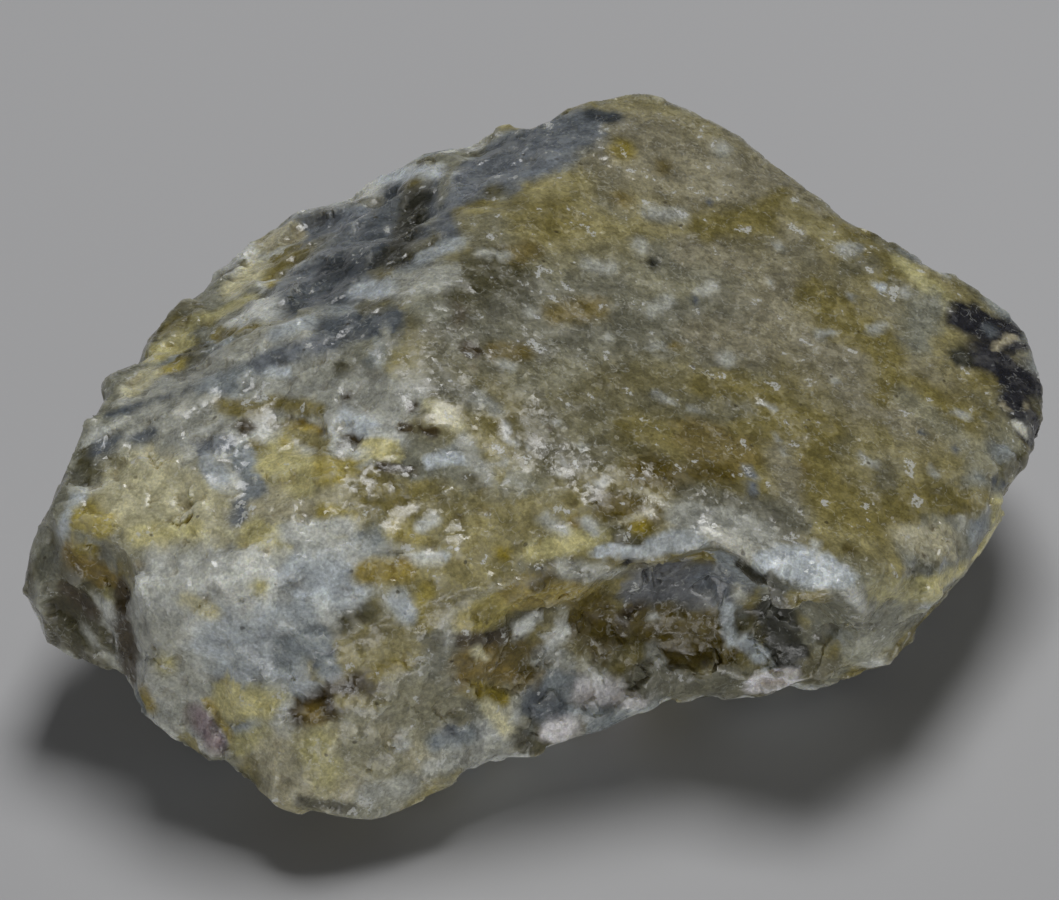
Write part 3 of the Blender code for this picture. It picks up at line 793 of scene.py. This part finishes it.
# %% [markdown]
# ## From the drawing to the stone
#
# A place on a drawing made through a lens is a direction from the camera. So a ray is cast from the
# camera through each place, and where it meets the stone is the place in space. Only the side that
# the camera sees has streaks. The other sides get their colours from clouds, further on.
#
# The drawing shows slopes foreshortened, so a streak on a slope has to run on in depth. That is why
# depth counts for less than half when the distance to a streak is measured: stone and streaks are
# both flattened along the line of sight.

# %% Find the streaks on the stone
MAP = (
    TOP_MAP + FLAKE_MAP + CHARCOAL_MAP + SLOPE_MAP + SHOULDER_MAP
    + BLOCK_MAP + FRONT_MAP + RECESS_MAP + WEDGE_MAP)
DEPTH_COUNTS = 0.42            # what a millimetre of depth counts for


def flattened(points):
    """The points moved along the line of sight, so that their depths differ by less:
    point - (1 - DEPTH_COUNTS) * (point . sight) * sight."""
    sight = np.array((LOOK_AT - camera.location).normalized())
    return points - (1.0 - DEPTH_COUNTS) * (points @ sight)[..., None] * sight


def on_stone(place):
    """Where the ray through a place of the drawing meets the stone, in millimetres. In the camera's
    own axes the ray is (x - width / 2, height / 2 - y, -width * lens / film)."""
    width, height = DRAWING
    ray = Vector((place[0] - width / 2, height / 2 - place[1], -width * lens.lens / lens.sensor_width))
    ray.rotate(camera.rotation_euler)
    ray.normalize()
    met, where, *_ = stone.ray_cast(camera.location, ray)
    if not met:
        where = stone.closest_point_on_mesh(camera.location + ray * AWAY)[1]
    return np.array(where) / MM


bpy.context.view_layer.update()
streaks = [
    line._replace(
        start=flattened(on_stone(line.start)), end=flattened(on_stone(line.end)),
        radius=line.radius * UNIT)
    for line in MAP]
print(len(MAP), "streaks, the first of which starts at, mm:", on_stone(MAP[0].start).round(1))

# %% [markdown]
# ## Raise and sink the streaks
#
# A streak's cover is 1 inside it and falls to 0 over its fading part. It is measured from points
# that wander a little, so that no border is a clean circle. The same measure lifts the skin here and
# colours it later.

# %% Shape the skin by the map
SMALL_WAVES = (1.5, 0.35, 71)  # size, reach and salt of the noise that makes borders wander
LIFT_ROUNDS = 12               # rounds that even out the directions in which the skin is lifted


def cover_of(points, line):
    """1 within the radius of the straight run from start to end, falling to 0 where the distance
    goes from radius * (1 - fade) to radius * (1 + fade). The points are flattened ones."""
    run = line.end - line.start
    along = np.clip((points - line.start) @ run / max(run @ run, 1e-9), 0.0, 1.0)
    away = np.linalg.norm(points - line.start - along[:, None] * run, axis=1) / line.radius
    return 1.0 - smooth_step(away, 1.0 - line.fade, 1.0 + line.fade)


points, normals = read_skin()
wavy = flattened(wandered(points, *SMALL_WAVES))
lift = np.zeros(len(points))
for line in streaks:
    if line.height:
        lift += line.height * cover_of(wavy, line)
points += relaxed(normals, LIFT_ROUNDS) * lift[:, None]
write_skin(points)
print("lift from", round(lift.min(), 2), "to", round(lift.max(), 2), "mm")

# %% [markdown]
# ## Crystal faces
#
# A broken crystal aggregate is a patchwork of flat faces, each at its own angle. To make them, space
# is shared out in cells: a loose grid with one seed somewhere in each box, and each point belongs to
# its nearest seed. All points of a cell then slide onto one plane, through their mean point and
# along their mean normal, with a chance lean and a chance step. Points on two sides of a thin edge
# are moved apart along their normals while the cells are chosen, so that no cell holds both.
#
# Three sizes are cut, coarse first. The coarse ones shape the rough sides. The finest are the small
# hackly steps that cover the top, and lie in patches elsewhere.

# %% Cut the crystal faces
# cell size, lean, step, share on the rough sides, share on the top, salt
CRYSTALS = [
    (5.6, 0.22, 0.20, 0.85, 0.25, 5),
    (2.8, 0.24, 0.12, 0.75, 0.60, 15),
    (1.3, 0.28, 0.06, 0.60, 0.40, 25),
]
TOP_LEAN = 0.40                # part of the lean and step that is left on the top
FARTHEST = 0.22                # farthest slide of a point, as a part of the cell size
APART = 0.35                   # how far the sides of a thin edge are kept apart, likewise
PATCHES = (9.0, 30)            # size and salt of the clouds in which the finest size lies
PATCH_BORDER = (0.44, 0.58)    # the finest size comes in while the clouds go from one to the other
WORN = 0.5                     # how far the steps between the crystals are worn down
WORN_ROUNDS = 3                # rounds of the shape that they are worn towards


def nearest_seed(points, size, salt):
    """The grid cell whose seed is nearest to each point, and that seed's place."""
    home = np.floor(points / size)
    best = np.full(len(points), np.inf)
    owner, place = np.zeros_like(points), np.zeros_like(points)
    for step in np.ndindex(3, 3, 3):
        cell = home + np.array(step) - 1
        seed = (cell + chance(cell, salt)) * size
        gap = ((points - seed) ** 2).sum(axis=1)
        nearer = gap < best
        best[nearer], owner[nearer], place[nearer] = gap[nearer], cell[nearer], seed[nearer]
    return owner, place


def cut_faces(points, normals, size, lean, step, share, salt):
    """Slide each cell's points onto one plane: mean point + chance step, mean normal + chance lean.
    The slide is gap * share along the plane's normal, at most FARTHEST * size."""
    cells, owner = np.unique(
        nearest_seed(points + normals * size * APART, size, salt)[0], axis=0, return_inverse=True)
    owner = owner.ravel()
    count = np.bincount(owner)[:, None]

    def mean(values):
        return np.stack([np.bincount(owner, column) for column in values.T], axis=1) / count

    rough = mean(1.0 - (1.0 - TOP_LEAN) * top)
    centre, facing = mean(points), mean(normals)
    facing /= np.linalg.norm(facing, axis=1, keepdims=True) + 1e-9
    facing += (chance(cells, salt + 1) - 0.5) * 2.0 * lean * rough
    facing /= np.linalg.norm(facing, axis=1, keepdims=True)
    out = (chance(cells, salt + 2)[:, :1] - 0.5) * 2.0 * step * rough
    gap = ((centre[owner] - points) * facing[owner]).sum(axis=1, keepdims=True) + out[owner]
    return points + facing[owner] * np.clip(gap * share, -FARTHEST * size, FARTHEST * size)


for size, lean, step, on_sides, on_top, salt in CRYSTALS:
    points, normals = read_skin()
    share = on_sides + (on_top - on_sides) * top
    if size == CRYSTALS[-1][0]:
        patches = smooth_step(clouds(points, *PATCHES), *PATCH_BORDER)[:, None]
        share = share * (top + (1.0 - top) * patches)
    write_skin(cut_faces(points, normals, size, lean, step, share, salt))
    print("crystal faces of", size, "mm cut")
points, normals = read_skin()
write_skin(points + (relaxed(points, WORN_ROUNDS) - points) * WORN)

# %% [markdown]
# ## Thin the net
#
# Flat faces need few triangles, sharp edges between them need points exactly on the edge. Blender's
# Decimate removes the points whose loss changes the shape least, so it clears the flat faces and
# leaves the edges. Edges between two crystals are then marked sharp, and the faces between them are
# shaded smooth, which makes them glassy.

# %% Thin the net and mark the edges
TRIANGLES = 188000
SHARP_FROM = 22                # degrees between two faces, from which their edge is seen


def store(name, values, domain="POINT"):
    """Keep a number or a colour per point or face on the mesh, for later steps and the material."""
    values = np.asarray(values, dtype=np.float32)
    kind, field = ("FLOAT", "value") if values.ndim == 1 else ("FLOAT_COLOR", "color")
    if values.ndim == 2:
        values = np.concatenate([values, np.ones((len(values), 1), dtype=np.float32)], axis=1)
    mesh.attributes.new(name, kind, domain).data.foreach_set(field, values.ravel())


store("top", top[:, 0])
thin = stone.modifiers.new("thin", "DECIMATE")
thin.ratio = TRIANGLES / (2 * len(mesh.polygons))
thin.use_collapse_triangulate = True
settle(stone)
mesh = stone.data
mesh.shade_smooth()
mesh.set_sharp_from_angle(angle=math.radians(SHARP_FROM))
edges = read_edges()
top = np.empty(len(mesh.vertices), dtype=np.float32)
mesh.attributes["top"].data.foreach_get("value", top)
print("thinned to", len(mesh.polygons), "triangles, share of the top", round(float(top.mean()), 2))

# %% [markdown]
# ## Colour the crystals
#
# Each point takes its colour from the map, seen half from its own place and half from the seed of
# its crystal, so that borders follow the crystal faces. Small streaks keep their exact place. Under
# the map, clouds of other crystals lie over olive, as the hidden sides have to be coloured too.
# Haze says where a fine crushed layer lies over the clear crystals.

# %% Work out the colours
GROUND = "olive"               # the colour under all others
# colour, cloud size, salt, where the cloud begins and is full, strength, whether the top has it too
CLOUDS = [
    ("pale olive", 12.0, 120, 0.45, 0.62, 1.0, True),
    ("grey haze and sheen", 6.0, 124, 0.50, 0.66, 0.7, True),
    ("sage", 9.0, 128, 0.50, 0.58, 1.0, False),
    ("milk", 8.0, 132, 0.54, 0.60, 1.0, False),
    ("grey blue", 7.0, 136, 0.58, 0.64, 1.0, False),
    ("moss", 7.0, 140, 0.60, 0.68, 1.0, False),
]
LARGE_WAVES = (4.0, 0.7, 70)   # size, reach and salt of the noise that bends large borders
TINY_WAVES = (0.8, 0.20, 72)   # the same for the borders of small streaks
FACET = 1.9                    # size of the crystals that borders follow
FACET_SALT = 110
LOOSE_FROM = (0.6, 2.2)        # radius over which a streak's border goes from exact to wandering
HAZE_CLOUDS = (7.0, 144)       # size and salt
HAZE_BORDER = (0.40, 0.60)


def paint_over(tint, colour, cover):
    """The tint, going over to the palette's colour by the cover."""
    return tint + (np.array(PALETTE[colour]) - tint) * cover[:, None]


points, normals = read_skin()
wavy = wandered(wandered(points, *LARGE_WAVES), *SMALL_WAVES)
facet = wavy + (nearest_seed(wavy, FACET, FACET_SALT)[1] - wavy) / 2
exact = wandered(points, *TINY_WAVES)

tint = np.tile(np.array(PALETTE[GROUND]), (len(points), 1))
for colour, size, salt, begins, full, strength, on_top in CLOUDS:
    cover = smooth_step(clouds(facet, size, salt), begins, full) * strength
    tint = paint_over(tint, colour, cover if on_top else cover * (1.0 - top))
flat_exact, flat_facet = flattened(exact), flattened(facet)
for line in streaks:
    seen = flat_exact + (flat_facet - flat_exact) * smooth_step(line.radius, *LOOSE_FROM)
    tint = paint_over(tint, line.colour, cover_of(seen, line))
haze = smooth_step(clouds(points, *HAZE_CLOUDS), *HAZE_BORDER)
store("tint", np.clip(tint, 0.0, 1.0))
store("haze", haze)
print("mean colour:", tint.mean(axis=0).round(3))

# %% [markdown]
# ## Tone of each face
#
# Every crystal is a little lighter or darker than its neighbour, and some are clear while others are
# dull. That changes at the edge between two faces and not within one, so it is kept per face: the
# cells that cut the crystals are looked up again at the middle of each triangle.

# %% Give every crystal its tone and its clearness
TONES = (0.11, 0.09, 0.05)     # how much lighter or darker, for the three sizes of crystals
CLEAR_BORDER = (0.25, 0.75)    # from dull to clear

centres = np.empty(len(mesh.polygons) * 3)
facings = np.empty(len(mesh.polygons) * 3)
mesh.polygons.foreach_get("center", centres)
mesh.polygons.foreach_get("normal", facings)
centres, facings = centres.reshape(-1, 3) / MM, facings.reshape(-1, 3)

tone, clear = 1.0, 0.0
for (size, *_, salt), strength in zip(CRYSTALS, TONES):
    cells, _ = nearest_seed(centres + facings * size * APART, size, salt)
    draw = chance(cells, salt + 3)
    tone = tone * (1.0 + (draw[:, 0] - 0.5) * 2.0 * strength)
    clear = clear + draw[:, 1] / len(TONES)
store("tone", tone, "FACE")
store("clear", smooth_step(clear, *CLEAR_BORDER), "FACE")
print("tones from", round(tone.min(), 2), "to", round(tone.max(), 2))

# %% [markdown]
# ## Edges and hollows
#
# Crushed edges of a soft mineral turn white, and its hollows are darkened and turned brown: partly
# dirt and iron stains that gather there, partly painted shade. Both can be measured: where a point
# stands out from the relaxed skin it is on an edge, and where it lies below it is in a hollow.

# %% Measure edges and hollows
NEAR_ROUNDS, NEAR_BAND = 4, (0.04, 0.20)       # for crystal edges: rounds, and from none to full
WIDE_HOLLOWS, WIDE_BAND = 40, (0.25, 1.2)      # for the recess and other wide hollows


def standing_out(rounds):
    """How far each point stands out from the skin relaxed by that many rounds, in millimetres."""
    return ((points - relaxed(points, rounds)) * normals).sum(axis=1)


stand_out = standing_out(NEAR_ROUNDS)
edge = smooth_step(stand_out, *NEAR_BAND)
hollow = smooth_step(-stand_out, *NEAR_BAND)
deep = smooth_step(-standing_out(WIDE_HOLLOWS), *WIDE_BAND)
store("edge", edge)
# The hollows darken and brown the colour later: partly a stain, partly painted shade.
store("hollow", np.maximum(hollow, deep))
print("edges", round(float(edge.mean()), 3), "hollows", round(float(hollow.mean()), 3))

# %% [markdown]
# ## The material
#
# The stored colours are too coarse to be crystals alone, so the material adds what is smaller than
# the net: grains that differ in tone, white veils and specks where cracks scatter the light, dark
# specks, and tiny flat faces as bump. Nodes are added by a few short helpers, so that the steps
# below read like a list. Light sinks into fluorite and comes out again nearby: that is the
# subsurface part, and red and green travel further than blue, which keeps the yellow warm.

# %% Helpers for nodes
def add_node(kind, inputs, output=0, **settings):
    """Add a node, set or link its inputs, and give back one of its outputs."""
    made = tree.nodes.new(kind)
    for name, value in settings.items():
        setattr(made, name, value)
    for socket, value in inputs.items():
        if isinstance(value, bpy.types.NodeSocket):
            tree.links.new(value, made.inputs[socket])
        else:
            made.inputs[socket].default_value = value
    return made.outputs[output]


def stored(name, output="Fac"):
    """What the skin keeps under that name."""
    return add_node("ShaderNodeAttribute", {}, output, attribute_name=name)


def span(value, low, high, to_low=0.0, to_high=1.0):
    """An even step from to_low to to_high while the value goes from low to high."""
    return add_node(
        "ShaderNodeMapRange",
        {"Value": value, "From Min": low, "From Max": high, "To Min": to_low, "To Max": to_high},
        "Result", interpolation_type="SMOOTHSTEP")


def maths(operation, a, b=0.0):
    """One sum of two numbers."""
    return add_node("ShaderNodeMath", {0: a, 1: b}, operation=operation)


def blended(share, under, over, way="MIX"):
    """Two colours blended by a share."""
    return add_node(
        "ShaderNodeMix", {"Factor": share, 6: under, 7: over}, 2, data_type="RGBA", blend_type=way)


def cloud(place, size, detail, output="Fac"):
    """Soft noise from 0 to 1, of that size in millimetres, as a number or as a colour."""
    return add_node(
        "ShaderNodeTexNoise",
        {"Vector": place, "Scale": 1 / (size * MM), "Detail": detail, "Roughness": 0.6}, output)


def shaken(place, size, reach):
    """The place moved about by noise of that size, in millimetres."""
    wave = cloud(place, size, 1.0, "Color")
    centred = add_node("ShaderNodeVectorMath", {0: wave, 1: (0.5, 0.5, 0.5)}, operation="SUBTRACT")
    small = add_node("ShaderNodeVectorMath", {0: centred, "Scale": 2 * reach * MM}, operation="SCALE")
    return add_node("ShaderNodeVectorMath", {0: place, 1: small}, operation="ADD")


def grains(place, size):
    """A cell pattern: the distance to the nearest seed in cells, a chance colour, and the seed."""
    made = tree.nodes.new("ShaderNodeTexVoronoi")
    tree.links.new(place, made.inputs["Vector"])
    made.inputs["Scale"].default_value = 1 / (size * MM)
    return made.outputs


def flat_faces(place, cell, lean):
    """A height in metres: inside each cell it rises evenly in a chance direction from the seed."""
    reach = add_node("ShaderNodeVectorMath", {0: place, 1: cell["Position"]}, operation="SUBTRACT")
    way = add_node("ShaderNodeVectorMath", {0: cell["Color"], 1: (0.5, 0.5, 0.5)}, operation="SUBTRACT")
    rise = add_node("ShaderNodeVectorMath", {0: reach, 1: way}, "Value", operation="DOT_PRODUCT")
    return maths("MULTIPLY", rise, 2 * lean)


# %% [markdown]
# ## Tint and tone
#
# The fluorite starts from the tint that the skin keeps. Each crystal is lighter or darker by its
# own tone, each grain by chance, and two noises, a soft murk and a fine frost, vary both. All the
# patterns are shaken a little, so that no grain is a perfect cell.

# %% Start the fluorite
GRAIN = 0.50                   # size of the grains, in millimetres
MURK = 2.2                     # sizes of the two noises
FROST = 0.30
GRAIN_TONES = (0.88, 1.12)     # what the patterns multiply the colour by, at their two ends
MURK_TONES = (0.76, 1.12)
FROST_TONES = (0.82, 1.18)

fluorite = bpy.data.materials.new("fluorite")
fluorite.use_nodes = True
tree = fluorite.node_tree
surface = tree.nodes["Principled BSDF"]
place = add_node("ShaderNodeTexCoord", {}, "Object")
uneven = shaken(place, size=1.2, reach=0.30)

grain = grains(uneven, GRAIN)
draw = add_node("ShaderNodeSeparateColor", {"Color": grain["Color"]})
murk = cloud(uneven, MURK, detail=5.0)
frost = cloud(place, FROST, detail=2.0)
tone = maths("MULTIPLY", stored("tone"), span(draw, 0, 1, *GRAIN_TONES))
tone = maths("MULTIPLY", tone, span(murk, 0.36, 0.60, *MURK_TONES))
tone = maths("MULTIPLY", tone, span(frost, 0.30, 0.70, *FROST_TONES))
tone = add_node("ShaderNodeCombineColor", {0: tone, 1: tone, 2: tone})
colour = blended(1.0, stored("tint", "Color"), tone, "MULTIPLY")
print("nodes for tint and tone:", len(tree.nodes))

# %% [markdown]
# ## Haze, flakes and veils
#
# Three kinds of damage scatter the light and look white or grey: a crushed haze in clouds, tiny
# cleavage flakes where murk and frost are both strong, and veils, which are cracks inside the
# crystals. A veil follows the line where a noise crosses its middle value. All three come from wear
# and stay out of the hollows, which leaves the hollows darker: painted shade.

# %% Lay haze, flakes and veils over it
HAZE = (0.38, 0.37, 0.33, 1), 0.14     # colour and strength of each
FLAKES = (0.66, 0.67, 0.64, 1), 0.75
VEILS = (0.60, 0.61, 0.58, 1), 0.26
CRACKS = 3.6                           # size of the noise that the veils follow
LEFT_IN_HOLLOWS = 0.15                 # how much of the damage is left in a full hollow


def laid_over(colour, layer, cover):
    """The colour with a layer over it, blended by the layer's strength times its cover."""
    over, strength = layer
    return blended(maths("MULTIPLY", cover, strength), colour, over)


# Keeping the pale layers out of the hollows leaves the hollows darker: painted shade.
open_skin = span(stored("hollow"), 0.0, 1.0, 1.0, LEFT_IN_HOLLOWS)
hazy = maths("MULTIPLY", span(murk, 0.46, 0.62), maths("MULTIPLY", stored("haze"), open_skin))
colour = laid_over(colour, HAZE, hazy)
flake = maths("MULTIPLY", span(murk, 0.635, 0.660), span(frost, 0.36, 0.50))
flake = maths("MULTIPLY", flake, open_skin)
colour = laid_over(colour, FLAKES, flake)
crack = maths("ABSOLUTE", maths("SUBTRACT", cloud(uneven, CRACKS, detail=3.0), 0.5))
veil = maths("MULTIPLY", span(crack, 0.003, 0.014, 1.0, 0.0), span(frost, 0.40, 0.55))
veil = maths("MULTIPLY", veil, open_skin)
colour = laid_over(colour, VEILS, veil)
print("with haze, flakes and veils:", len(tree.nodes))

# %% [markdown]
# ## Specks
#
# Single crushed points are white specks, and grains of another mineral are dark ones. Both sit at
# the seeds of a larger cell pattern, but only in the few cells whose chance number is high enough
# for a white one or low enough for a dark one.

# %% Sprinkle specks
SPECK_CELLS = 1.0                      # size of the cells, in millimetres
WHITE_SPECKS = (0.70, 0.71, 0.69, 1), 0.70
DARK_SPECKS = (0.05, 0.04, 0.02, 1), 0.70

speck = grains(uneven, SPECK_CELLS)
rare = add_node("ShaderNodeSeparateColor", {"Color": speck["Color"]}, 1)
white_speck = maths("MULTIPLY", span(speck["Distance"], 0.05, 0.14, 1.0, 0.0), span(rare, 0.88, 0.93))
white_speck = maths("MULTIPLY", white_speck, span(murk, 0.44, 0.54))
colour = laid_over(colour, WHITE_SPECKS, white_speck)
dark_speck = maths("MULTIPLY", span(speck["Distance"], 0.12, 0.28, 1.0, 0.0), span(rare, 0.05, 0.03))
colour = laid_over(colour, DARK_SPECKS, dark_speck)
print("with specks:", len(tree.nodes))

# %% [markdown]
# ## Crushed edges, and hollows with stain and painted shade
#
# The measured edges turn whiter. The hollows are darkened and turned brown, partly as a stain and
# partly as painted shade, so they are multiplied by that colour and not covered with it.

# %% Crush the edges, and stain and shade the hollows
CRUSHED = (0.66, 0.66, 0.62, 1), 0.22
STAIN_AND_SHADE = (0.50, 0.41, 0.26, 1)          # what a full stain and painted shade multiply the colour by
STAINED_AND_SHADED = 0.50                         # how much of a full stain and painted shade the hollows have

colour = laid_over(colour, CRUSHED, maths("MULTIPLY", stored("edge"), open_skin))
stain_and_shade = blended(1.0, colour, STAIN_AND_SHADE, "MULTIPLY")
colour = blended(maths("MULTIPLY", stored("hollow"), STAINED_AND_SHADED), colour, stain_and_shade)
tree.links.new(colour, surface.inputs["Base Color"])
print("with edges and hollows:", len(tree.nodes))

# %% [markdown]
# ## Relief, gloss and light inside
#
# The relief is made of flat faces the size of the grains, with the frost and the flakes on them. The
# gloss differs from crystal to crystal, so that single faces catch the light. The thin coat is the
# clean, glassy part of the shine, and the subsurface part lets light in under the skin.

# %% Finish the fluorite
FACE_LEAN = 0.20                       # steepest rise over run of a small face, along each axis
FROST_HEIGHT = 0.05 * MM
FLAKE_HEIGHT = 0.06 * MM
ROUGHNESS = (0.30, 0.46)               # from little to much murk
CLEAR_GAIN = 0.14                      # how much smoother a clear crystal is

relief = maths("ADD", flat_faces(uneven, grain, FACE_LEAN), maths("MULTIPLY", frost, FROST_HEIGHT))
relief = maths("ADD", relief, maths("MULTIPLY", flake, FLAKE_HEIGHT))
bump = add_node("ShaderNodeBump", {"Height": relief, "Strength": 0.5, "Distance": 1.0})
tree.links.new(bump, surface.inputs["Normal"])

gloss = maths(
    "SUBTRACT", span(murk, 0.40, 0.62, *ROUGHNESS), maths("MULTIPLY", stored("clear"), CLEAR_GAIN))
tree.links.new(gloss, surface.inputs["Roughness"])
surface.inputs["IOR"].default_value = 1.434
surface.inputs["Coat Weight"].default_value = 0.20
surface.inputs["Coat Roughness"].default_value = 0.18
surface.inputs["Subsurface Weight"].default_value = 0.45
surface.inputs["Subsurface Radius"].default_value = (1.0, 0.85, 0.45)
surface.inputs["Subsurface Scale"].default_value = 3.0 * MM
print("nodes in the material:", len(tree.nodes))

# %% [markdown]
# ## Finish
#
# The skin takes the imported solid's place and rides on its body.

# %% Put the stone together
mesh.materials.clear()
mesh.materials.append(fluorite)
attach(stone, "root")
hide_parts("fluorite_specimen")
